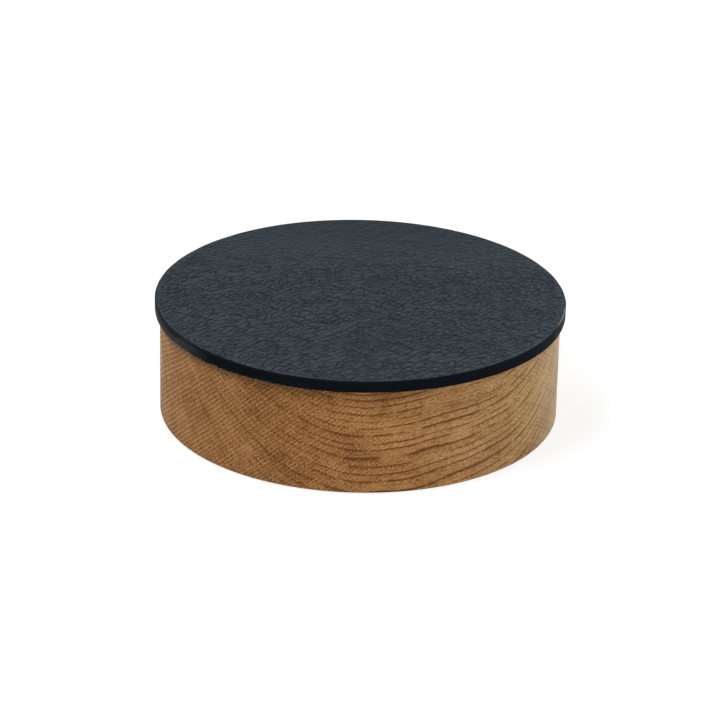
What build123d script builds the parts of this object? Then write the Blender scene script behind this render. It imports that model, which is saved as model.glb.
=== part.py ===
"""Low round keepsake box: a turned oak cup with a leather-faced lid that lifts straight off.

The vertical axis of the box is Z, the front is -Y, and the origin lies at the centre of the
base felt's underside. All sizes are in millimetres.
"""

import os

from build123d import *

# Oak cup
body_diameter = 117.0
body_height = 32.0
wall_thickness = 7.0
floor_thickness = 6.0
cove_radius = 3.0
foot_bevel = 0.5
rim_bevel = 0.4
bore_mouth_bevel = 0.8

# Recess under the cup, and the felt glued into it
foot_ring_width = 6.0
recess_depth = 1.2
felt_stand = 0.3
felt_gap = 0.3

# Lining on the floor inside the cup
floor_lining_thickness = 1.2
floor_lining_gap = 0.3

# Lid plate: leather, stiffening board and backing, glued up as one flat sandwich
lid_overhang = 1.5
leather_thickness = 1.5
board_thickness = 1.1
backing_thickness = 0.5
leather_bevel = 0.25

# Paint built up round the cut edge of the lid plate
edge_coat_thickness = 0.25
coat_bevel_share = 0.8

# Locating disc under the lid, and the lining glued to it
locating_depth = 5.0
locating_clearance = 0.5
locating_bevel = 0.9
locating_lead_in = 0.6
plug_lining_thickness = 1.0
plug_lining_margin = 1.8

# Radii that follow from the sizes above
body_radius = body_diameter / 2
bore_radius = body_radius - wall_thickness
recess_radius = body_radius - foot_ring_width
felt_radius = recess_radius - felt_gap
floor_lining_radius = bore_radius - cove_radius - floor_lining_gap
lid_radius = body_radius + lid_overhang
plate_radius = lid_radius - edge_coat_thickness
coat_bevel = edge_coat_thickness * coat_bevel_share
locating_radius = bore_radius - locating_clearance
plug_lining_radius = locating_radius - plug_lining_margin

# Heights that follow from the sizes above
foot_height = felt_stand
recess_height = foot_height + recess_depth
floor_height = foot_height + floor_thickness
floor_lining_top = floor_height + floor_lining_thickness
rim_height = foot_height + body_height
backing_top = rim_height + backing_thickness
board_top = backing_top + board_thickness
lid_top = board_top + leather_thickness
locating_foot = rim_height - locating_depth
plug_lining_foot = locating_foot - plug_lining_thickness


def turned(*corners):
    """Solid turned about Z from the corners of its half section.

    Each corner is a radius and a height, and where it is eased also fillet or chamfer and a size.
    """
    outline = [(radius, height) for radius, height, *_ in corners]
    with BuildPart() as piece:
        with BuildSketch(Plane.XZ) as section:
            with BuildLine():
                Polyline(*outline, close=True)
            make_face()
            for radius, height, *easing in corners:
                if easing:
                    ease, size = easing
                    corner = section.vertices().sort_by_distance((radius, height))[0]
                    ease(corner, size)
        revolve(axis=Axis.Z)
    return piece.part


def disc(radius, bottom, top):
    """Flat round disc with square-cut edges."""
    return turned(
        (0, bottom),
        (radius, bottom),
        (radius, top),
        (0, top),
    )


def oak_body():
    """One block of oak turned to a cup: straight wall, coved floor and a recess underneath."""
    return turned(
        (0, recess_height),
        (recess_radius, recess_height),
        (recess_radius, foot_height),
        (body_radius, foot_height, chamfer, foot_bevel),
        (body_radius, rim_height, chamfer, rim_bevel),
        (bore_radius, rim_height, chamfer, bore_mouth_bevel),
        (bore_radius, floor_height, fillet, cove_radius),
        (0, floor_height),
    )


def base_felt():
    """Felt disc in the recess, standing a little proud so that the oak is off the table."""
    return disc(felt_radius, 0, recess_height)


def floor_lining():
    """Soft disc on the flat of the floor, inside the cove."""
    return disc(floor_lining_radius, floor_height, floor_lining_top)


def lid_backing():
    """Thin lowest layer of the lid plate, which rests on the oak rim."""
    return disc(plate_radius, rim_height, backing_top)


def lid_board():
    """Stiff middle layer of the lid plate."""
    return disc(plate_radius, backing_top, board_top)


def lid_leather():
    """Leather face of the lid, its upper edge skived before the paint goes on."""
    return turned(
        (0, board_top),
        (plate_radius, board_top),
        (plate_radius, lid_top, chamfer, leather_bevel),
        (0, lid_top),
    )


def lid_edge_coat():
    """Smooth band of edge paint round all three layers, up to the foot of the leather's bevel."""
    coat_top = lid_top - leather_bevel
    return turned(
        (plate_radius, rim_height),
        (lid_radius, rim_height, chamfer, coat_bevel),
        (lid_radius, coat_top, chamfer, coat_bevel),
        (plate_radius, coat_top),
    )


def locating_disc():
    """Wooden disc that drops into the bore and keeps the lid centred.

    Its wall leans in a little towards a bevelled lower edge, which leads it into the bore.
    """
    return turned(
        (0, locating_foot),
        (locating_radius - locating_lead_in, locating_foot, chamfer, locating_bevel),
        (locating_radius, rim_height),
        (0, rim_height),
    )


def plug_lining():
    """Soft disc that closes the underside of the locating disc."""
    return disc(plug_lining_radius, plug_lining_foot, locating_foot)


pieces = [
    oak_body,
    base_felt,
    floor_lining,
    lid_backing,
    lid_board,
    lid_leather,
    lid_edge_coat,
    locating_disc,
    plug_lining,
]

os.makedirs("parts", exist_ok=True)
for piece in pieces:
    export_step(piece(), f"parts/{piece.__name__}.step")
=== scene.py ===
"""Looks of the round keepsake box: pebbled leather, edge paint, turned oak, linings and felt.

Lengths are in millimetres until a mesh is made, and the frame is the CAD model's: +Z up, front -Y.
"""

import math

import bpy
import numpy as np
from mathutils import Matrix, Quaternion, Vector


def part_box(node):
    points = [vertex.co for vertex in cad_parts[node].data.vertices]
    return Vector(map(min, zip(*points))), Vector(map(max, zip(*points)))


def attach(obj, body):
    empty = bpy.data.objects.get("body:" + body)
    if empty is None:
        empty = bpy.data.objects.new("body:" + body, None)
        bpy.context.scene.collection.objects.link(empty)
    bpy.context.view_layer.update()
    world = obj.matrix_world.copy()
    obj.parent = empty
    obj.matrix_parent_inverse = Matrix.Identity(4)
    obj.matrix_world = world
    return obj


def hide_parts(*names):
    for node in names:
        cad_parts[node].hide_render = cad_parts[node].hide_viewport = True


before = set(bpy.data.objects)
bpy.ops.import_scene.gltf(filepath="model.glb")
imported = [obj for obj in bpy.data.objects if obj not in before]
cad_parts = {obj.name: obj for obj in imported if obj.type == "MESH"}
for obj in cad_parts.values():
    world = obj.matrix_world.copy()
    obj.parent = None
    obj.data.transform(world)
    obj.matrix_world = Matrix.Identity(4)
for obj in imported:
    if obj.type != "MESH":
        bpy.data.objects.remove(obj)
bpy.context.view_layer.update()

MM = 0.001


# Sizes read from the frame


def node_sizes(node):
    """Outer radius, foot and top of a CAD node, in millimetres."""
    low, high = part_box(node)
    return high.x / MM, low.z / MM, high.z / MM


BODY_RADIUS, FOOT, RIM = node_sizes("oak_body")
FELT_RADIUS, _, RECESS_TOP = node_sizes("base_felt")
FLOOR_RADIUS, CUP_FLOOR, FLOOR_LINING_TOP = node_sizes("floor_lining")
PLATE_RADIUS, _, BACKING_TOP = node_sizes("lid_backing")
_, BOARD_TOP, LID_TOP = node_sizes("lid_leather")
LID_RADIUS, _, COAT_TOP = node_sizes("lid_edge_coat")
DISC_RADIUS, DISC_FOOT, _ = node_sizes("locating_disc")
PLUG_RADIUS, PLUG_FOOT, _ = node_sizes("plug_lining")
WALL_MIDDLE = (FOOT + RIM) / 2

# Gaps and roundings, which no node's box gives

DISC_CLEARANCE = 0.5
DISC_LEAD_IN = 0.6
DISC_ROUNDING = 0.9
FELT_GAP = 0.3
FELT_ROUNDING = 0.35
COVE = 3.0
FOOT_ROUNDING = 0.5
RIM_ROUNDING = 0.4
MOUTH_ROUNDING = 0.8
FLOOR_LINING_ROUNDING = 0.5
PLUG_LINING_ROUNDING = 0.45
BORE_RADIUS = DISC_RADIUS + DISC_CLEARANCE
RECESS_RADIUS = FELT_RADIUS + FELT_GAP

# Rounded shoulder of the leather: how far in from its cut edge, and how far below its top

SHOULDER = ((0.55, 0.0), (0.3, 0.03), (0.12, 0.12), (0.0, 0.3))


# Node trees written as formulas


class Field:
    """A value that varies over a surface. Arithmetic on it adds math nodes."""

    def __init__(self, graph, socket):
        self.graph = graph
        self.socket = socket

    def __add__(self, other):
        return self.graph.combine_two("ADD", self, other)

    def __radd__(self, other):
        return self.graph.combine_two("ADD", other, self)

    def __sub__(self, other):
        return self.graph.combine_two("SUBTRACT", self, other)

    def __rsub__(self, other):
        return self.graph.combine_two("SUBTRACT", other, self)

    def __mul__(self, other):
        return self.graph.combine_two("MULTIPLY", self, other)

    def __pow__(self, other):
        return self.graph.combine_two("POWER", self, other)


class Graph:
    """Adds nodes to a shader or geometry tree. Each method returns its node's output as a Field."""

    def __init__(self, tree):
        self.tree = tree

    def feed(self, socket, value):
        if isinstance(value, Field):
            self.tree.links.new(value.socket, socket)
        else:
            socket.default_value = value

    def add(self, kind, inputs, output=0, **settings):
        node = self.tree.nodes.new(kind)
        for key, value in settings.items():
            setattr(node, key, value)
        for key, value in inputs.items():
            self.feed(node.inputs[key], value)
        return Field(self, node.outputs[output])

    def combine_two(self, operation, a, b):
        kinds = [v.socket.type for v in (a, b) if isinstance(v, Field)]
        if "VECTOR" in kinds or "RGBA" in kinds:
            a, b = ((v,) * 3 if isinstance(v, (int, float)) else v for v in (a, b))
            return self.add("ShaderNodeVectorMath", {0: a, 1: b}, operation=operation)
        return self.math(operation, a, b)

    def math(self, operation, *values):
        return self.add("ShaderNodeMath", dict(enumerate(values)), operation=operation)

    def dot(self, a, b):
        return self.add(
            "ShaderNodeVectorMath", {0: a, 1: b}, output="Value", operation="DOT_PRODUCT"
        )

    def vector(self, x, y, z):
        return self.add("ShaderNodeCombineXYZ", {0: x, 1: y, 2: z})

    def split(self, vector):
        parts = self.add("ShaderNodeSeparateXYZ", {0: vector}).socket.node.outputs
        return [Field(self, part) for part in parts]

    def texture(self, vector, detail, roughness, size, output):
        if size != 1:
            vector = vector * (1 / size)
        return self.add(
            "ShaderNodeTexNoise",
            {"Vector": vector, "Scale": 1.0, "Detail": detail, "Roughness": roughness},
            output=output,
        )

    def noise(self, vector, detail, roughness=0.5, size=1):
        """Cloudy noise about 0.5. size is that of a feature, in the vector's unit."""
        return self.texture(vector, detail, roughness, size, 0)

    def wander(self, vector, reach, detail=1.0, size=1):
        """Noise as a vector, from about -reach / 2 to reach / 2."""
        return (self.texture(vector, detail, 0.5, size, "Color") - 0.5) * reach

    def cells(self, vector, feature="F1", dimensions="3D"):
        """Distance to the middle of the nearest cell, or to its edge."""
        return self.add(
            "ShaderNodeTexVoronoi",
            {"Vector": vector, "Scale": 1.0, "Randomness": 1.0},
            output="Distance",
            feature=feature,
            voronoi_dimensions=dimensions,
        )

    def chance(self, value):
        """A random number from 0 to 1 for each whole value."""
        return self.add("ShaderNodeTexWhiteNoise", {"W": value}, noise_dimensions="1D")

    def rise(self, value, low, high):
        """0 below low, 1 above high, smooth between them. It falls where high is below low."""
        ends = (1.0, 0.0) if high < low else (0.0, 1.0)
        return self.add(
            "ShaderNodeMapRange",
            {
                "Value": value,
                "From Min": min(low, high),
                "From Max": max(low, high),
                "To Min": ends[0],
                "To Max": ends[1],
            },
            interpolation_type="SMOOTHSTEP",
        )

    def blend(self, share, first, second):
        """Colour from first at 0 to second at 1."""
        node = self.tree.nodes.new("ShaderNodeMix")
        node.data_type = "RGBA"
        share_in, first_in, second_in = (
            next(s for s in node.inputs if s.identifier == name)
            for name in ("Factor_Float", "A_Color", "B_Color")
        )
        self.feed(share_in, share)
        for socket, value in ((first_in, first), (second_in, second)):
            self.feed(socket, value if isinstance(value, Field) else (*value, 1.0))
        out = next(s for s in node.outputs if s.identifier == "Result_Color")
        return Field(self, out)


class Surface(Graph):
    """A new material with one Principled shader. Constants go straight on the shader's sockets."""

    def __init__(self, name, **constants):
        self.material = bpy.data.materials.new(name)
        self.material.use_nodes = True
        super().__init__(self.material.node_tree)
        self.shader = self.tree.nodes["Principled BSDF"]
        for socket, value in constants.items():
            self.shader.inputs[socket.replace("_", " ")].default_value = value
        place = self.add("ShaderNodeTexCoord", {}, output="Object")
        self.place = place * (1.0 / MM)
        self.facing = Field(self, place.socket.node.outputs["Normal"])

    def finish(self, colour, roughness, relief):
        """Feeds the shader. relief is a height in millimetres."""
        self.feed(self.shader.inputs["Base Color"], colour)
        self.feed(self.shader.inputs["Roughness"], roughness)
        bump = self.add("ShaderNodeBump", {"Strength": 1.0, "Distance": MM, "Height": relief})
        self.feed(self.shader.inputs["Normal"], bump)
        return self.material


# Leather and its edge paint

# The grain's lean from +X, its pebbles per millimetre along and across it, and how they gather
GRAIN_LEAN = math.radians(50)
PEBBLES_ALONG = 0.31
PEBBLES_GATHER = 0.0008
PEBBLES_ACROSS = 0.56

# Where paint is smeared on the leather: the turn of its middle to the left of the front, and how
# far from there it is full and ends, in radians
SMEAR_TURN = 0.85
SMEAR_FULL = 0.15
SMEAR_END = 0.35

# How far behind the lid's middle the grain sets in and is full, for its shape and its colour. The
# second also sets where a painted shade darkens the leather towards the back
GRAIN_SHAPED = (54.0, 14.0)
GRAIN_AND_SHADE_TINTED = (58.0, 8.0)

# How far to the right of the middle a painted light starts to lighten the leather, and is brightest
PAINTED_LIGHT_RIGHT = (10.0, 55.0)

# Half the width over which the smear fades into bare leather
SMEAR_SOFT = 0.12

LEATHER_DARK = (0.0258, 0.0342, 0.0438)
LEATHER_LIGHT = (0.0268, 0.036, 0.0462)
LEATHER_MOTTLE = (0.028, 0.039, 0.0425)
# Painted shade for the creases
LEATHER_CREASE_SHADE = (0.006, 0.009, 0.0125)
LEATHER_PORE = (0.042, 0.051, 0.059)
# Painted shade: the leather's colour is scaled from the first at the back to the second in front
LEATHER_SHADED_BACK = (0.45, 0.515, 0.54)
LEATHER_LIT_FRONT = (1.11, 1.13, 1.1)
LEATHER_SMEAR = (0.0028, 0.0036, 0.0052)


def pebbles(graph, place):
    """Grain of the leather: height in millimetres, and crease depth from 0 to 1.

    The lid's mesh and its material both use it, so that the painted shade of a crease lies in its
    groove.
    The grain is strong in front and flattens towards the back, where only soft folds are left.
    """
    bent = place + graph.wander(place, 8.0, size=26) + graph.wander(place, 0.85, size=2.4)
    x, y, _ = graph.split(bent)
    along = x * math.cos(GRAIN_LEAN) + y * math.sin(GRAIN_LEAN)
    along = along * (along * PEBBLES_GATHER + PEBBLES_ALONG)
    across = (y * math.cos(GRAIN_LEAN) - x * math.sin(GRAIN_LEAN)) * PEBBLES_ACROSS
    coarse = graph.cells(graph.vector(along, across, 0.0), "DISTANCE_TO_EDGE", "2D")
    shifted = graph.vector(along * 2.0 + 7.3, across * 1.8 + 2.9, 0.0)
    fine = graph.cells(shifted, "DISTANCE_TO_EDGE", "2D")
    _, back, _ = graph.split(place)
    near = graph.rise(back, *GRAIN_SHAPED)
    strength = 0.45 + graph.rise(graph.noise(place, 1.0, size=2.6), 0.3, 0.66) * 0.55
    strength = strength * (0.14 + near * 0.86)
    crown = graph.rise(coarse, -0.04, 0.22) * (0.04 + strength * 0.42)
    small_crown = graph.rise(fine, -0.05, 0.22) * (0.03 + strength * 0.12) * near
    swell = graph.noise(place, 1.0, size=3.0) * 0.09
    fold = graph.noise(graph.vector(along * 0.5, across * 0.62, 0.0), 2.0) * (0.62 - near * 0.5)
    crease = graph.rise(coarse, 0.17, 0.0) * (0.15 + strength * 0.85)
    small_crease = graph.rise(fine, 0.17, 0.0) * (0.1 + strength * 0.5) * near
    return crown + small_crown + swell + fold, graph.math("MAXIMUM", crease, small_crease)


def leather(name):
    """Dark slate leather, with paint smeared raggedly over its edge at the left, painted shade in
    its creases and towards the back, and painted light towards the right.
    """
    s = Surface(name, Specular_IOR_Level=0.04)
    _, crease = pebbles(s, s.place)
    patches = s.noise(s.place, 3.0, size=17)
    pores = s.noise(s.place, 2.0, 0.6, size=0.35)
    mottle = s.noise(s.place, 2.0, size=4.5)
    right, back, _ = s.split(s.place)
    near = s.rise(back, *GRAIN_AND_SHADE_TINTED)
    colour = s.blend(patches, LEATHER_DARK, LEATHER_LIGHT)
    colour = s.blend(s.rise(mottle, 0.52, 0.66) * 0.2, colour, LEATHER_MOTTLE)
    # Painted shade in the creases, on top of the shading that the relief gives
    colour = s.blend(crease * 0.38, colour, LEATHER_CREASE_SHADE)
    colour = s.blend(s.rise(pores, 0.52, 0.75) * near * 0.34, colour, LEATHER_PORE)
    # Painted shade: darker towards the back, lighter in front
    colour = colour * s.blend(near, LEATHER_SHADED_BACK, LEATHER_LIT_FRONT)
    # Painted light: the leather lighter towards the right
    colour = colour * (1.0 + s.rise(right, *PAINTED_LIGHT_RIGHT) * 0.11)

    reach = (right * right + back * back) ** 0.5
    from_middle = s.math("ABSOLUTE", s.math("ARCTAN2", right, 0.0 - back) + SMEAR_TURN)
    ragged = s.rise(s.noise(s.place, 2.0, size=0.9), 0.42, 0.7)
    smear = 0.1 + s.rise(from_middle, SMEAR_END, SMEAR_FULL) * (0.15 + ragged * 0.75)
    stain = s.rise(reach + smear, PLATE_RADIUS - SMEAR_SOFT, PLATE_RADIUS + SMEAR_SOFT)
    colour = s.blend(stain, colour, LEATHER_SMEAR)
    roughness = 0.52 + crease * 0.2 + (pores - 0.5) * 0.2
    relief = crease * (-0.06 - near * 0.44) + pores * near * 0.07
    return s.finish(colour, roughness, relief)


# Where the band's marks lie, to the right of the axis, behind it or in height: painted sheen with
# dust at the left, a painted highlight along the lower edge and a painted glint on the crest.
# Each pair is where a mark sets in and where it is full. The climb is how much higher the painted
# sheen and dust reach in front
SHEEN_DUST_ALONG = (-41.0, -52.0)
SHEEN_DUST_THINS = (-51.0, -57.0)
SHEEN_DUST_CLIMBS = (-54.0, -49.5)
SHEEN_DUST_CLIMB = 1.1
SHEEN_DUST_TOP = (RIM + 1.1, RIM + 1.8)
EDGE_HIGHLIGHT_ALONG = (-8.0, -30.0)
EDGE_HIGHLIGHT_HEIGHT = (RIM + 0.14, RIM - 0.04)
GLINT_ALONG = (56.2, 58.2)
GLINT_FRONT = (-3.5, -7.0)
FAINT_GLINT_ALONG = (38.0, 54.0)
FAINT_GLINT_FRONT = (-2.0, -6.0)
GLINT_HEIGHT = (COAT_TOP + 0.06, COAT_TOP + 0.16)

PAINT_DARK = (0.0036, 0.0052, 0.0072)
PAINT_LIGHT = (0.0058, 0.008, 0.0105)
# Pale grey of the painted sheen with dust, then its specks, the painted highlight of the lower edge
# and the painted glint of the crest
PAINT_SHEEN_AND_DUST = (0.046, 0.053, 0.053)
PAINT_SPECK = (0.08, 0.083, 0.085)
PAINT_EDGE_HIGHLIGHT = (0.11, 0.12, 0.12)
PAINT_GLINT = (0.22, 0.23, 0.24)


def edge_paint(name):
    """Near-black paint, with painted sheen and dust specks at the left, a painted highlight along
    the lower edge and a painted glint on the crest at the right.
    """
    s = Surface(name, Specular_IOR_Level=0.006)
    cloud = s.noise(s.place, 2.0, size=5.0)
    specks = s.noise(s.place, 1.0, size=0.4)
    x, y, height = s.split(s.place)
    colour = s.blend(cloud, PAINT_DARK, PAINT_LIGHT)

    # Painted sheen with dust at the left: a pale grey for the reflection on the band's face, with
    # specks, on its lower half and higher towards the front
    upper = s.rise(height - s.rise(x, *SHEEN_DUST_CLIMBS) * SHEEN_DUST_CLIMB, *SHEEN_DUST_TOP)
    sheen_and_dust = s.rise(x, *SHEEN_DUST_ALONG) * (1.0 - s.rise(x, *SHEEN_DUST_THINS) * 0.3) * (1.0 - upper * 0.85)
    patchy = s.rise(s.noise(s.place, 3.0, 0.6, size=1.1), 0.32, 0.68)
    colour = s.blend(sheen_and_dust * (0.45 + patchy * 0.5), colour, PAINT_SHEEN_AND_DUST)
    specked = s.rise(specks, 0.7, 0.8) * (0.25 + sheen_and_dust * 0.5)
    colour = s.blend(specked, colour, PAINT_SPECK)

    # Broken painted highlight along the lower edge, from the left to the front
    # Painted highlight: a pale line where the bead's lower arris would catch light
    edge_highlight = s.rise(height, *EDGE_HIGHLIGHT_HEIGHT) * s.rise(x, *EDGE_HIGHLIGHT_ALONG)
    edge_highlight = edge_highlight * s.rise(s.noise(s.place, 3.0, size=0.9), 0.42, 0.62)
    colour = s.blend(edge_highlight, colour, PAINT_EDGE_HIGHLIGHT)

    # Painted glint on the crest at the right, and a faint painted highlight before that
    crest_glint = s.rise(x, *GLINT_ALONG) * s.rise(y, *GLINT_FRONT)
    crest_glint = crest_glint + s.rise(x, *FAINT_GLINT_ALONG) * s.rise(y, *FAINT_GLINT_FRONT) * 0.12
    crest_glint = crest_glint * s.rise(height, *GLINT_HEIGHT)
    # Painted highlight: the crest pale where a lamp's glint would lie
    colour = s.blend(crest_glint * 0.9, colour, PAINT_GLINT)
    return s.finish(colour, 0.34 + cloud * 0.16, cloud * 0.05 + specks * 0.008)


# Oak

# Millimetres to a growth ring, the bow of the rings, and the rays round the pith line
RING_WIDTH = 1.9
RING_BOW = 0.0097
RAYS_PER_RADIAN = 98.0

# Tones of the rays, the pale wood, the mid wood and the open vessels
TONE_STOPS = (0.0, 0.35, 0.65, 1.0)

# Places along the grain, from the middle of the piece: each pair is where a look of the wood sets
# in and where it is full. RINGS_LIFTED and RINGS_SUNK are how far the rings rise and sink there
RINGS_LIFT, RINGS_LIFTED = (-32.0, 2.0), 5.0
RINGS_SINK, RINGS_SUNK = (0.0, 32.0), 3.0
RAYS_STRONG = (30.0, -15.0)
RINGS_OPEN = (-40.0, -4.0)
RINGS_CLOSE = (22.0, 50.0)
HATCHED = (-57.5, -47.0)
HATCH_SHADED = (-8.0, -28.0)
ARCS_START = (8.0, 34.0)
ARCS_THIN = (46.0, 57.0)
GRITTY = (-12.0, -46.0)
DARKENS = (-54.0, -44.0)
DARKENED_UNTIL = (-30.0, -40.0)
PALES = (-58.5, -55.5)
PALE_UNTIL = (-45.0, -50.0)
# Where the wood grows paler along the grain: partly bleached, partly painted sheen
PALER_WITH_SHEEN = (-30.0, 48.0)

# The same to the right of the axis, for the paler wood and the painted sheen, and in height, for
# the painted shade under the lid
PALER_WITH_SHEEN_LEFT = (-50.0, -58.0)
SHEEN_RIGHT = (47.0, 59.0)
PAINTED_SHADE_UNDER_LID = (RIM - 3.2, RIM - 1.8)

# Under the painted sheen at the far right, the wood keeps its colour times the first, plus the
# second
SHEEN_TINT = (0.91, 0.94, 0.98)
SHEEN_LIFT = (0.05, 0.059, 0.059)


def grain_axes(turn, tilt):
    """Directions along the pith line, across it and up from it. turn and tilt are in degrees."""
    turn, tilt = math.radians(turn), math.radians(tilt)
    level = math.cos(tilt)
    along = Vector((math.cos(turn) * level, math.sin(turn) * level, math.sin(tilt)))
    across = Vector((math.sin(turn), -math.cos(turn), 0.0))
    up = along.cross(across)
    if up.z < 0:
        up.negate()
    return along, across, up


def oak(name, grain, pith, tones, pale_and_sheen_tones):
    """Oak as solid wood, with its rings round a pith line that runs beside the piece.

    grain is the direction of the pith line: its turn from +X and its tilt, in degrees. pith is
    where that line passes: how far in front of the axis and how far above the middle of the wall.
    tones are the colours of its rays, its pale wood, its mid wood and its open vessels, and
    the last argument gives the same four where the wood is paler: partly faded, partly painted
    sheen.
    """
    s = Surface(name, Specular_IOR_Level=0.06)
    bent = s.place + s.wander(s.place, 4.0, 0.0, size=60) + s.wander(s.place, 0.25, size=3.5)
    axes = grain_axes(*grain)
    middle = Vector((0.0, 0.0, WALL_MIDDLE))
    along, across, up = (s.dot(bent, tuple(axis)) - middle.dot(axis) for axis in axes)
    up = up - s.rise(along, *RINGS_LIFT) * RINGS_LIFTED
    up = up + s.rise(along, *RINGS_SINK) * RINGS_SUNK
    out = across + up * up * RING_BOW - pith[0]
    above = up - pith[1]
    radius = (out * out + above * above) ** 0.5
    angle = s.math("ARCTAN2", above, out)
    end_grain = s.math("ABSOLUTE", s.dot(s.facing, tuple(axes[0])))
    side_grain = 1.0 - end_grain

    def stretched(length, width):
        """Place in cells that are long along the grain."""
        return s.vector(along * (1 / length), across * (1 / width), up * (1 / width))

    # Where along the grain the rings show: hatched at the left, closed at the right
    closing = s.rise(along, *RINGS_CLOSE)
    hatched = s.rise(along, *HATCHED)
    open_grain = 0.3 + hatched * 0.08 + s.rise(along, *RINGS_OPEN) * 0.62 - closing * 0.58

    # Growth rings: each starts with a dark row of open vessels and fades outwards
    spacing = s.noise(s.vector(radius * (1 / 5), 0.0, 0.0), 2.0)
    drift = s.noise(s.place, 1.0, size=15)
    years = radius * (1 / RING_WIDTH) + (drift - 0.5) * 0.7 + (spacing - 0.5) * 1.8
    year = s.math("FLOOR", years)
    season = years - year
    early = s.rise(season, 0.0, 0.06) * s.rise(season, 0.28, 0.08)
    late = s.rise(season, 0.3, 1.0)
    dashes = s.noise(s.vector(along * (1 / 20), across * (1 / 2.4), year * 7.3), 2.0)
    dashes = s.rise(dashes, 0.34, 0.54)
    streak = early * dashes * (0.4 + s.chance(year) * 0.6) * open_grain
    shade = s.rise(season, 0.0, 0.05) * s.rise(season, 0.62, 0.1) * (0.3 + dashes * 0.7)
    shade = shade * open_grain * (0.24 + hatched * s.rise(along, *HATCH_SHADED) * 0.2)
    faint = s.rise(s.math("ABSOLUTE", season - 0.62), 0.1, 0.02)
    faint = faint * s.rise(s.noise(stretched(12.0, 2.0), 1.0), 0.36, 0.55) * open_grain

    # Vessels: long tubes, wide ones at the start of a ring and fine ones elsewhere
    wide = s.rise(s.cells(stretched(4.0, 0.45)), 0.44, 0.2) * s.rise(season, 0.9, 0.1)
    fine = s.rise(s.cells(stretched(2.4, 0.3)), 0.5, 0.15)

    # Rays: thin sheets that run out from the pith, pale lines where they are cut across
    sway = s.noise(s.vector(along * (1 / 18), radius * (1 / 20), angle * 9.0), 1.0)
    sector = angle * RAYS_PER_RADIAN + (sway - 0.5) * 0.9
    count = s.math("FLOOR", sector)
    from_line = s.math("ABSOLUTE", s.math("FRACT", sector) - 0.5)
    kept = s.noise(s.vector(along * (1 / 6), radius * (1 / 4), angle * 70.0), 2.0)
    kept = 0.3 + s.rise(kept, 0.3, 0.62) * 0.7
    ray = s.rise(from_line, 0.26, 0.04) * kept * (0.6 + s.chance(count + 0.5) * 0.4)

    # Thin dark arcs between some of the rays, where the wood closes at the right
    crossing = s.rise(from_line, 0.17, 0.02) * s.rise(s.chance(count + 3.5), 0.5, 0.6) * kept
    crossing = crossing * s.rise(along, *ARCS_START) * (1.0 - s.rise(along, *ARCS_THIN) * 0.5)

    # Tone from 0, the colour of the rays, to 1, that of the open vessels
    bands = s.noise(s.vector(along * (1 / 30), radius * (1 / 4), angle * 3.0), 2.0)
    patches = s.noise(s.place, 3.0, size=9) * 0.5 + bands * 0.5
    fleck = s.noise(stretched(1.2, 0.28), 2.0, 0.7)
    grit = s.noise(s.place, 1.0, size=0.27)
    tone = 0.4 + (patches - 0.5) * 0.95 + (fleck - 0.5) * (1.55 - closing * 0.6)
    tone = tone + (grit - 0.5) * (1.0 + s.rise(along, *GRITTY) * 1.1 - closing * 0.5)
    tone = tone + s.rise(along, *DARKENS) * s.rise(along, *DARKENED_UNTIL) * 0.07
    tone = tone - s.rise(along, *PALES) * s.rise(along, *PALE_UNTIL) * 0.07
    tone = tone + late * 0.06 + streak * (0.64 + side_grain * 0.3) + shade + faint * 0.24
    tone = tone + crossing * 0.46 + wide * 0.24 + fine * 0.1
    tone = tone - (ray - 0.25) * end_grain * (0.18 + s.rise(along, *RAYS_STRONG) * 0.42)

    def ramp(colours):
        shown = s.add("ShaderNodeValToRGB", {"Fac": tone}, output="Color")
        stops = shown.socket.node.color_ramp.elements
        for place in TONE_STOPS[1:-1]:
            stops.new(place)
        for stop, colour in zip(stops, colours):
            stop.color = (*colour, 1.0)
        return shown

    # The wood is paler towards both ends, partly bleached and partly painted sheen, has more
    # painted sheen at the far right, and painted shade darkens it under the lid
    x, _, height = s.split(s.place)
    # Paler towards both ends: partly bleached wood, partly painted sheen
    paler_with_sheen = s.math("MAXIMUM", s.rise(along, *PALER_WITH_SHEEN), s.rise(x, *PALER_WITH_SHEEN_LEFT) * 0.42)
    colour = s.blend(paler_with_sheen, ramp(tones), ramp(pale_and_sheen_tones))
    # Painted sheen: paler and greyer at the far right
    colour = s.blend(s.rise(x, *SHEEN_RIGHT), colour, colour * SHEEN_TINT + SHEEN_LIFT)
    # Painted shade: the top of the wall darker just under the lid
    colour = colour * (1.0 - s.rise(height, *PAINTED_SHADE_UNDER_LID) * 0.12)
    roughness = 0.62 + streak * 0.15 - ray * 0.06
    relief = wide * -0.03 + fine * -0.01 + streak * -0.02 + fleck * 0.01
    return s.finish(colour, roughness, relief)


# Linings, felt, backing and board

SUEDE_DARK = (0.034, 0.040, 0.047)
SUEDE_LIGHT = (0.054, 0.062, 0.070)
SUEDE_NAP = (0.026, 0.031, 0.037)
FELT_DARK = (0.019, 0.021, 0.025)
FELT_LIGHT = (0.042, 0.046, 0.052)
FELT_FIBRE = (0.095, 0.1, 0.108)
FELT_FLECK = (0.012, 0.013, 0.016)
BACKING_DARK = (0.032, 0.036, 0.042)
BACKING_LIGHT = (0.047, 0.053, 0.061)
BACKING_GRAIN = (0.024, 0.028, 0.033)
BOARD_DARK = (0.16, 0.125, 0.085)
BOARD_LIGHT = (0.24, 0.195, 0.135)
BOARD_FIBRE = (0.09, 0.065, 0.04)


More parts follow.
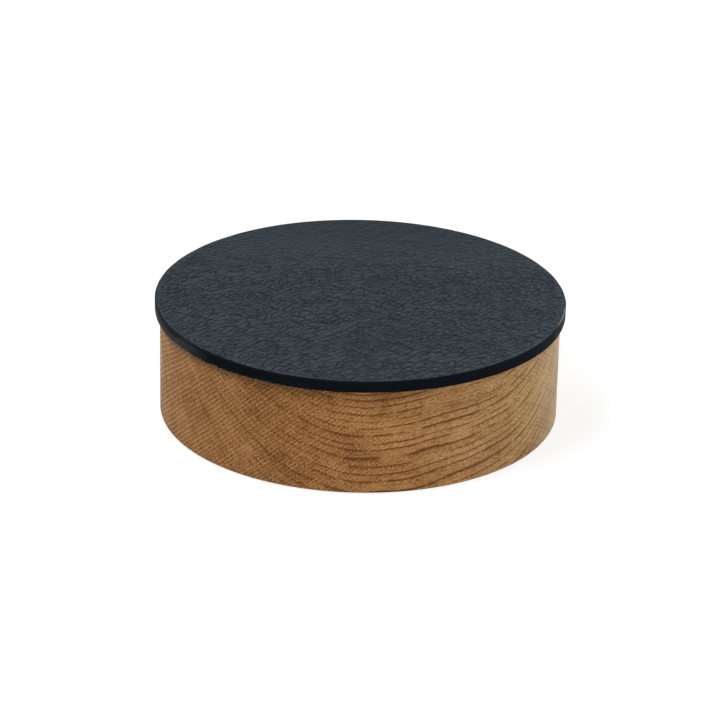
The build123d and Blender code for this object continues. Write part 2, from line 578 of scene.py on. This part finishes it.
def suede(name):
    """Fine suede split whose nap lies in brushed patches."""
    s = Surface(name, Specular_IOR_Level=0.1, Sheen_Weight=0.2, Sheen_Roughness=0.5)
    brushed = s.noise(s.place, 3.0, size=13)
    x, y, z = s.split(s.place)
    nap = s.noise(s.vector(x * 2.4 + y * 1.1, y * 3.6 - x * 0.8, z * 3.0), 3.0, 0.65)
    colour = s.blend(s.rise(brushed, 0.38, 0.62), SUEDE_DARK, SUEDE_LIGHT)
    colour = s.blend(s.rise(nap, 0.35, 0.7) * 0.5, colour, SUEDE_NAP)
    return s.finish(colour, 0.86 + nap * 0.12, nap * 0.05)


def felt(name):
    """Charcoal wool felt of crossed, curled fibres."""
    s = Surface(name, Specular_IOR_Level=0.1, Sheen_Weight=0.15, Sheen_Roughness=0.6)
    clumps = s.noise(s.place, 3.0, size=3.5)
    x, y, z = s.split(s.place + s.wander(s.place, 1.6, size=1.8))
    fibres = s.noise(s.vector(x * 6.0, y * 1.3, z * 3.0), 3.0, 0.7)
    crossed = s.noise(s.vector(x * 1.2 + 9.0, y * 6.4, z * 3.0), 3.0, 0.7)
    fuzz = s.math("MAXIMUM", fibres, crossed)
    flecks = s.noise(s.place, 2.0, 0.6, size=0.7)
    colour = s.blend(s.rise(clumps, 0.35, 0.65), FELT_DARK, FELT_LIGHT)
    colour = s.blend(s.rise(fuzz, 0.56, 0.76) * 0.75, colour, FELT_FIBRE)
    colour = s.blend(s.rise(flecks, 0.55, 0.7) * 0.5, colour, FELT_FLECK)
    return s.finish(colour, 0.9 + clumps * 0.08, fuzz * 0.14 + flecks * 0.1)


def backing(name):
    """Thin, smooth split under the lid plate."""
    s = Surface(name, Specular_IOR_Level=0.2)
    patches = s.noise(s.place, 3.0, size=9)
    grain = s.noise(s.place, 3.0, 0.6, size=0.5)
    colour = s.blend(patches, BACKING_DARK, BACKING_LIGHT)
    colour = s.blend(s.rise(grain, 0.45, 0.7) * 0.4, colour, BACKING_GRAIN)
    return s.finish(colour, 0.58 + grain * 0.2, grain * 0.03)


def board(name):
    """Pressed fibre board."""
    s = Surface(name, Specular_IOR_Level=0.15)
    flocs = s.noise(s.place, 3.0, size=2.2)
    fibres = s.noise(s.place, 2.0, 0.7, size=0.3)
    colour = s.blend(flocs, BOARD_DARK, BOARD_LIGHT)
    colour = s.blend(s.rise(fibres, 0.6, 0.8) * 0.6, colour, BOARD_FIBRE)
    return s.finish(colour, 0.8 + fibres * 0.15, fibres * 0.04)


# Meshes


def make_object(name, corners, faces, material):
    """Smooth-shaded object from corners in millimetres."""
    mesh = bpy.data.meshes.new(name)
    mesh.from_pydata((np.asarray(corners) * MM).tolist(), [], faces)
    mesh.polygons.foreach_set("use_smooth", [True] * len(mesh.polygons))
    mesh.materials.append(material)
    mesh.update()
    piece = bpy.data.objects.new(name, mesh)
    bpy.context.collection.objects.link(piece)
    return piece


ROUNDING_PARTS = 6
RIPPLE_WAVES = 14

# Parts round a turned piece, and the longest run of its half section
CUP_PARTS, CUP_STEP = 512, 2.0
PLUG_PARTS, PLUG_STEP = 320, 1.5
PLATE_PARTS, PLATE_STEP = 256, 1.5
SOFT_PARTS, SOFT_STEP = 256, 1.2
PAINT_PARTS, PAINT_STEP = 1440, 0.4


def half_section(corners, step):
    """Points along a half section.

    Each corner is a radius, a height and the radius of its rounding, which is 0 at both ends.
    Straight runs are divided into lengths of at most step.
    """
    points = []
    for index, (radius, height, rounding) in enumerate(corners):
        here = Vector((radius, height))
        if rounding == 0:
            points.append(here)
            continue
        before = Vector(corners[index - 1][:2]) - here
        after = Vector(corners[index + 1][:2]) - here
        half = before.angle(after) / 2
        reach = rounding / math.tan(half)
        bisector = (before.normalized() + after.normalized()).normalized()
        centre = here + bisector * (rounding / math.sin(half))
        start = here + before.normalized() * reach - centre
        end = here + after.normalized() * reach - centre
        sweep = math.pi - 2 * half
        for part in range(ROUNDING_PARTS + 1):
            share = part / ROUNDING_PARTS
            blended = start * math.sin((1 - share) * sweep) + end * math.sin(share * sweep)
            points.append(centre + blended / math.sin(sweep))
    divided = [points[0]]
    for last, here in zip(points, points[1:]):
        parts = max(1, math.ceil((here - last).length / step - 1e-6))
        divided += [last.lerp(here, part / parts) for part in range(1, parts + 1)]
    return [(point.x, point.y) for point in divided]


def disc_section(radius, foot, top, step, foot_rounding=0, top_rounding=0):
    """Half section of a flat disc, its rim rounded below or above."""
    return half_section(
        [(0, foot, 0), (radius, foot, foot_rounding), (radius, top, top_rounding), (0, top, 0)],
        step,
    )


def ripple(points, length, seed):
    """Soft random height of about unit size at each point, with waves about as long as length."""
    rng = np.random.default_rng(seed)
    total = np.zeros(len(points))
    for _ in range(RIPPLE_WAVES):
        direction = rng.normal(size=3)
        direction /= np.linalg.norm(direction)
        wave = 2 * math.pi / (length * rng.uniform(0.7, 1.6))
        total += np.sin(points @ direction * wave + rng.uniform(0, 2 * math.pi))
    return total / math.sqrt(RIPPLE_WAVES / 2)


def ring_of(count, radius, height):
    """Corners evenly round the axis, from the front on."""
    angles = [2 * math.pi * k / count for k in range(count)]
    return [(radius * math.sin(a), -radius * math.cos(a), height) for a in angles]


def skin(rings, closed=False):
    """Faces between each ring of corner numbers and the next.

    A closed skin also joins the last ring to the first.
    """
    pairs = list(zip(rings, rings[1:]))
    if closed:
        pairs.append((rings[-1], rings[0]))
    faces = []
    for inner, outer in pairs:
        for k in range(len(inner)):
            ahead = (k + 1) % len(inner)
            face = [inner[k], inner[ahead], outer[ahead], outer[k]]
            faces.append(list(dict.fromkeys(face)))
    return faces


def turned(name, section, segments, material, uneven=None):
    """Turned piece from a half section that runs from axis to axis.

    uneven is its soft departure from the true shape: its size and the length of its waves, in
    millimetres, and a seed. The foot stays flat.
    """
    corners = []
    rings = []
    for radius, height in section:
        start = len(corners)
        if radius < 1e-6:
            corners.append((0.0, 0.0, height))
            rings.append([start] * segments)
        else:
            corners += ring_of(segments, radius, height)
            rings.append(list(range(start, start + segments)))
    corners = np.array(corners)
    if uneven:
        size, length, seed = uneven
        lowest = corners[:, 2].min()
        push = ripple(corners, length, seed) * size
        reach = np.hypot(corners[:, 0], corners[:, 1])
        corners[:, :2] *= (1 + push / np.maximum(reach, 1.0))[:, None]
        corners[:, 2] += ripple(corners, length, seed + 100) * size
        corners[:, 2] = np.maximum(corners[:, 2], lowest)
    return make_object(name, corners, skin(rings), material)


# Hand-laid edge paint: how far its bead hangs below the rim, how much further it sags and at what
# turn to the left of the front, and the width, thickness and rise of the lip on the leather
BEAD_DROP = 0.17
BEAD_SAG = 0.18
SAG_TURN = 0.87
LIP_WIDTH = 0.16
LIP_FILM = 0.06
LIP_RISE = 0.12

# How far the paint reaches in under the plate, at the rim and at the foot of the bead, its
# roundings from the foot up, the dip of its outer crest, and how deep the lip ends in the leather
TUCK_AT_RIM = 0.05
TUCK_AT_FOOT = 0.02
INNER_BEAD_ROUNDING = 0.06
OUTER_BEAD_ROUNDING = 0.1
CREST_ROUNDING = 0.2
CREST_DIP = 0.02
LIP_ROOT = 0.2

# Raggedness of the lip in front, and how much more it is at the left and less at the right. Then
# the unevenness of the whole band. Each has the length of its waves and a seed
LIP_RAGGED, LIP_RAGGED_LEFT = 0.024, 0.018
LIP_WAVES, LIP_SEED = 2.0, 51
BAND_UNEVEN, BAND_WAVES, BAND_SEED = 0.02, 7.0, 31


def edge_coat(name, material):
    """Band of edge paint: a bead that sags, a smooth face, and a lip with a ragged inner line."""
    crest = COAT_TOP + LIP_RISE
    bead = RIM - BEAD_DROP
    face = half_section(
        [
            (PLATE_RADIUS - TUCK_AT_RIM, RIM, 0),
            (PLATE_RADIUS - TUCK_AT_FOOT, bead, INNER_BEAD_ROUNDING),
            (LID_RADIUS, bead, OUTER_BEAD_ROUNDING),
            (LID_RADIUS, crest - CREST_DIP, CREST_ROUNDING),
            (PLATE_RADIUS, crest, 0),
        ],
        PAINT_STEP,
    )
    turns = np.arange(PAINT_PARTS) * (2 * math.pi / PAINT_PARTS)
    circle = np.stack([np.sin(turns), -np.cos(turns), np.zeros(PAINT_PARTS)], axis=1)
    raggedness = LIP_RAGGED - LIP_RAGGED_LEFT * circle[:, 0]
    width = LIP_WIDTH + raggedness * ripple(circle * PLATE_RADIUS, LIP_WAVES, LIP_SEED)
    sag = BEAD_SAG * np.clip(np.cos(turns + SAG_TURN), 0.0, 1.0) ** 4
    rows = []
    for radius, height in face:
        rows.append((np.full(PAINT_PARTS, radius), height - sag * (height < RIM)))
    insets, drops = zip(*reversed(SHOULDER))
    for share in (0.2, 0.4, 0.6, 0.8, 1.0):
        inset = width * share
        film = LID_TOP - np.interp(inset, insets, drops) + LIP_FILM
        rows.append((PLATE_RADIUS - inset, np.maximum(film, crest)))
    rows.append((rows[-1][0], rows[-1][1] - LIP_ROOT))
    corners = []
    for radius, height in rows:
        ring = circle * radius[:, None]
        ring[:, 2] = height
        corners.append(ring)
    corners = np.concatenate(corners)
    push = 1 + ripple(corners, BAND_WAVES, BAND_SEED) * BAND_UNEVEN / PLATE_RADIUS
    corners[:, :2] *= push[:, None]
    starts = range(0, len(corners), PAINT_PARTS)
    rings = [list(range(start, start + PAINT_PARTS)) for start in starts]
    return make_object(name, corners, skin(rings, closed=True), material)


LEATHER_RINGS = 168


def leather_disc(name, material):
    """Leather face of the lid: a disc of even triangles, its shoulder and cut edge, pebbled."""
    top_radius = PLATE_RADIUS - SHOULDER[0][0]
    shoulder = [(PLATE_RADIUS - inset, LID_TOP - drop) for inset, drop in SHOULDER[1:]]
    shoulder += [(PLATE_RADIUS, (LID_TOP + BOARD_TOP) / 2), (PLATE_RADIUS, BOARD_TOP)]
    corners = [(0.0, 0.0, LID_TOP)]
    faces = []

    def first(ring):
        """Number of the first corner of a ring. Ring 0 is the corner in the middle."""
        return 0 if ring == 0 else 1 + 3 * ring * (ring - 1)

    for ring in range(1, LEATHER_RINGS + 1):
        corners += ring_of(6 * ring, top_radius * ring / LEATHER_RINGS, LID_TOP)
        inner_count = max(1, 6 * (ring - 1))
        for side in range(6):
            for step in range(ring):
                outer = first(ring) + side * ring + step
                outer_next = first(ring) + (side * ring + step + 1) % (6 * ring)
                inner = first(ring - 1) + (side * (ring - 1) + step) % inner_count
                faces.append((inner, outer, outer_next))
                if step < ring - 1:
                    inner_next = first(ring - 1) + (side * (ring - 1) + step + 1) % inner_count
                    faces.append((inner, outer_next, inner_next))
    count = 6 * LEATHER_RINGS
    start = first(LEATHER_RINGS)
    for radius, height in shoulder:
        below = len(corners)
        corners += ring_of(count, radius, height)
        for k in range(count):
            ahead = (k + 1) % count
            faces.append((start + k, below + k, below + ahead, start + ahead))
        start = below
    faces.append(tuple(start + k for k in reversed(range(count))))
    piece = make_object(name, corners, faces, material)
    press_grain(piece)
    return piece


# Height of the grain that lies level with the top of the CAD model's leather, and how far below
# that top and in from the cut edge it sets in and is full
GRAIN_LEVEL = 0.42
GRAIN_ABOVE = (LID_TOP - 0.25, LID_TOP - 0.02)
GRAIN_WITHIN = (PLATE_RADIUS - 0.3, PLATE_RADIUS - 1.8)


def press_grain(piece):
    """Raises the leather's pebbles on the upper face with geometry nodes and keeps the result.

    They flatten towards the shoulder.
    """
    tree = bpy.data.node_groups.new("leather_grain", "GeometryNodeTree")
    tree.interface.new_socket("Geometry", in_out="INPUT", socket_type="NodeSocketGeometry")
    tree.interface.new_socket("Geometry", in_out="OUTPUT", socket_type="NodeSocketGeometry")
    g = Graph(tree)
    entry = tree.nodes.new("NodeGroupInput")
    leave = tree.nodes.new("NodeGroupOutput")
    place = g.add("GeometryNodeInputPosition", {}) * (1.0 / MM)
    height, _ = pebbles(g, place)
    x, y, z = g.split(place)
    reach = (x * x + y * y) ** 0.5
    upper = g.rise(z, *GRAIN_ABOVE)
    inside = 0.12 + g.rise(reach, *GRAIN_WITHIN) * 0.88
    lift = (height - GRAIN_LEVEL) * upper * inside * MM
    moved = tree.nodes.new("GeometryNodeSetPosition")
    tree.links.new(entry.outputs[0], moved.inputs["Geometry"])
    g.feed(moved.inputs["Offset"], g.vector(0.0, 0.0, lift))
    tree.links.new(moved.outputs["Geometry"], leave.inputs[0])
    modifier = piece.modifiers.new("grain", "NODES")
    modifier.node_group = tree
    shaped = piece.evaluated_get(bpy.context.evaluated_depsgraph_get())
    mesh = bpy.data.meshes.new_from_object(shaped)
    piece.modifiers.clear()
    piece.data = mesh
    bpy.data.node_groups.remove(tree)


# Pieces

oak_wood = oak(
    "oak_turned",
    grain=(24.6, 7.7),
    pith=(103.7, 67.7),
    tones=(
        (0.55, 0.305, 0.128),
        (0.405, 0.197, 0.07),
        (0.265, 0.113, 0.035),
        (0.12, 0.043, 0.012),
    ),
    pale_and_sheen_tones=(
        (0.5, 0.345, 0.175),
        (0.4, 0.262, 0.118),
        (0.29, 0.168, 0.065),
        (0.16, 0.072, 0.024),
    ),
)
disc_wood = oak(
    "oak_disc",
    grain=(48.0, -4.0),
    pith=(-30.0, -70.0),
    tones=(
        (0.50, 0.31, 0.15),
        (0.38, 0.20, 0.08),
        (0.27, 0.125, 0.045),
        (0.11, 0.042, 0.014),
    ),
    pale_and_sheen_tones=(
        (0.52, 0.34, 0.17),
        (0.40, 0.23, 0.1),
        (0.3, 0.15, 0.06),
        (0.13, 0.055, 0.02),
    ),
)
lining = suede("suede_slate")

cup = turned(
    "oak_cup",
    half_section(
        [
            (0, RECESS_TOP, 0),
            (RECESS_RADIUS, RECESS_TOP, 0),
            (RECESS_RADIUS, FOOT, 0),
            (BODY_RADIUS, FOOT, FOOT_ROUNDING),
            (BODY_RADIUS, RIM, RIM_ROUNDING),
            (BORE_RADIUS, RIM, MOUTH_ROUNDING),
            (BORE_RADIUS, CUP_FLOOR, COVE),
            (0, CUP_FLOOR, 0),
        ],
        CUP_STEP,
    ),
    CUP_PARTS,
    oak_wood,
)
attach(cup, "box")
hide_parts("oak_body")

base = turned(
    "felt_pad",
    disc_section(FELT_RADIUS, 0, RECESS_TOP, SOFT_STEP, foot_rounding=FELT_ROUNDING),
    SOFT_PARTS,
    felt("felt_charcoal"),
    uneven=(0.03, 4.0, 11),
)
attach(base, "box")
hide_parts("base_felt")

floor_suede = turned(
    "floor_suede",
    disc_section(
        FLOOR_RADIUS, CUP_FLOOR, FLOOR_LINING_TOP, SOFT_STEP, top_rounding=FLOOR_LINING_ROUNDING
    ),
    SOFT_PARTS,
    lining,
    uneven=(0.04, 9.0, 21),
)
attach(floor_suede, "box")
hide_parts("floor_lining")

face = leather_disc("leather_face", leather("leather_slate"))
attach(face, "lid")
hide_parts("lid_leather")

edge = edge_coat("edge_band", edge_paint("edge_paint_black"))
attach(edge, "lid")
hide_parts("lid_edge_coat")

under = turned(
    "backing_split",
    disc_section(PLATE_RADIUS, RIM, BACKING_TOP, PLATE_STEP),
    PLATE_PARTS,
    backing("backing_grain"),
)
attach(under, "lid")
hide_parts("lid_backing")

plug = turned(
    "locating_plug",
    half_section(
        [
            (0, DISC_FOOT, 0),
            (DISC_RADIUS - DISC_LEAD_IN, DISC_FOOT, DISC_ROUNDING),
            (DISC_RADIUS, RIM, 0),
            (0, RIM, 0),
        ],
        PLUG_STEP,
    ),
    PLUG_PARTS,
    disc_wood,
)
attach(plug, "lid")
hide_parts("locating_disc")

plug_suede = turned(
    "plug_suede",
    disc_section(PLUG_RADIUS, PLUG_FOOT, DISC_FOOT, SOFT_STEP, foot_rounding=PLUG_LINING_ROUNDING),
    SOFT_PARTS,
    lining,
    uneven=(0.04, 9.0, 41),
)
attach(plug_suede, "lid")
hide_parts("plug_lining")

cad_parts["lid_board"].material_slots[0].material = board("board_fibre")

for pad, radius, carrier in (
    (base, FELT_RADIUS, cup),
    (floor_suede, FLOOR_RADIUS, cup),
    (plug_suede, PLUG_RADIUS, plug),
):
    width = 2 * radius * MM
    math.pi * width**2 / 4


# Camera, at the place found by fitting the photograph's outline, in metres

VIEW_TARGET = Vector((0.00025, -0.04521, 0.0354))
VIEW_DISTANCE = 0.9865
VIEW_ELEVATION = math.radians(24.3005)
VIEW_ROLL = math.radians(1.2715)

camera = bpy.data.objects.new("camera", bpy.data.cameras.new("camera"))
bpy.context.collection.objects.link(camera)
camera.data.lens = 176.0
camera.data.sensor_width = 36.0
camera.data.clip_start = 0.05
camera.data.clip_end = 20.0
back = Vector((0.0, -math.cos(VIEW_ELEVATION), math.sin(VIEW_ELEVATION)))
camera.location = VIEW_TARGET + back * VIEW_DISTANCE
camera.rotation_mode = "QUATERNION"
camera.rotation_quaternion = back.to_track_quat("Z", "Y") @ Quaternion((0, 0, 1), VIEW_ROLL)
bpy.context.scene.camera = camera


# Floor, world and lamps

AMBIENT = 0.16
FLOOR_REACH = 3000.0
FLOOR_GAP = 0.02
FLOOR_DARK = (0.64, 0.64, 0.64)
FLOOR_LIGHT = (0.66, 0.66, 0.66)

# The floor that is seen is mostly glow, with a little lit colour that takes the shadow
FLOOR_SEEN = (0.2, 0.2, 0.2)
FLOOR_GLOW = 0.84

# What the lamps look at, in metres
BOX_MIDDLE = Vector((0.0, 0.0, 0.02))


def seen_or_mirrored(graph):
    """1 for rays from the camera, from gloss and through glass, 0 for those that light things."""
    path = graph.tree.nodes.new("ShaderNodeLightPath").outputs
    names = ("Is Camera Ray", "Is Glossy Ray", "Is Transmission Ray")
    camera_ray, glossy, through = (Field(graph, path[name]) for name in names)
    return graph.math("MAXIMUM", graph.math("MAXIMUM", camera_ray, glossy), through)


world = bpy.data.worlds.new("studio")
bpy.context.scene.world = world
world.use_nodes = True
w = Graph(world.node_tree)
background = world.node_tree.nodes["Background"]
w.feed(background.inputs["Strength"], AMBIENT + seen_or_mirrored(w) * (1.0 - AMBIENT))
background.inputs["Color"].default_value = (1.0, 1.0, 1.0, 1.0)

floor_material = bpy.data.materials.new("floor_white")
floor_material.use_nodes = True
f = Graph(floor_material.node_tree)
floor_shader = floor_material.node_tree.nodes["Principled BSDF"]
paper = f.noise(f.add("ShaderNodeTexCoord", {}, output="Object") * 40.0, 2.0)
shown = seen_or_mirrored(f)
lit = f.blend(paper, FLOOR_DARK, FLOOR_LIGHT)
f.feed(floor_shader.inputs["Base Color"], f.blend(shown, lit, FLOOR_SEEN))
f.feed(floor_shader.inputs["Roughness"], 0.9 + paper * 0.05)
floor_shader.inputs["Specular IOR Level"].default_value = 0.0
floor_shader.inputs["Emission Color"].default_value = (1.0, 1.0, 1.0, 1.0)
f.feed(floor_shader.inputs["Emission Strength"], shown * FLOOR_GLOW)

floor = make_object(
    "studio_floor",
    [
        (x * FLOOR_REACH, y * FLOOR_REACH, -FLOOR_GAP)
        for x, y in ((-1, -1), (1, -1), (1, 1), (-1, 1))
    ],
    [(0, 1, 2, 3)],
    floor_material,
)


def softbox(name, direction, distance, width, height, strength):
    """Area lamp that looks at the middle of the box. Its lengths are in metres.

    strength is the share of a surface's colour that the lamp alone shows where it falls straight
    on.
    """
    lamp = bpy.data.lights.new(name, "AREA")
    lamp.shape = "RECTANGLE"
    lamp.size = width
    lamp.size_y = height
    lamp.energy = strength * math.pi**2 * distance**2
    holder = bpy.data.objects.new(name, lamp)
    bpy.context.collection.objects.link(holder)
    away = Vector(direction).normalized()
    holder.location = BOX_MIDDLE + away * distance
    holder.rotation_mode = "QUATERNION"
    holder.rotation_quaternion = away.to_track_quat("Z", "Y")
    holder.visible_camera = False


softbox("left", (-0.45, 0.6, 0.66), 1.0, 0.4, 0.4, 0.52)
softbox("overhead", (-0.42, -0.36, 1.0), 1.0, 0.3, 0.3, 0.66)
softbox("front_right", (0.76, -0.63, 0.2), 1.0, 0.5, 0.4, 0.48)
softbox("right", (0.93, 0.25, 0.24), 1.0, 0.9, 0.5, 0.25)
softbox("right_back", (0.6, 0.78, 0.2), 0.9, 0.12, 0.12, 0.3)

bpy.context.scene.view_settings.view_transform = "Standard"
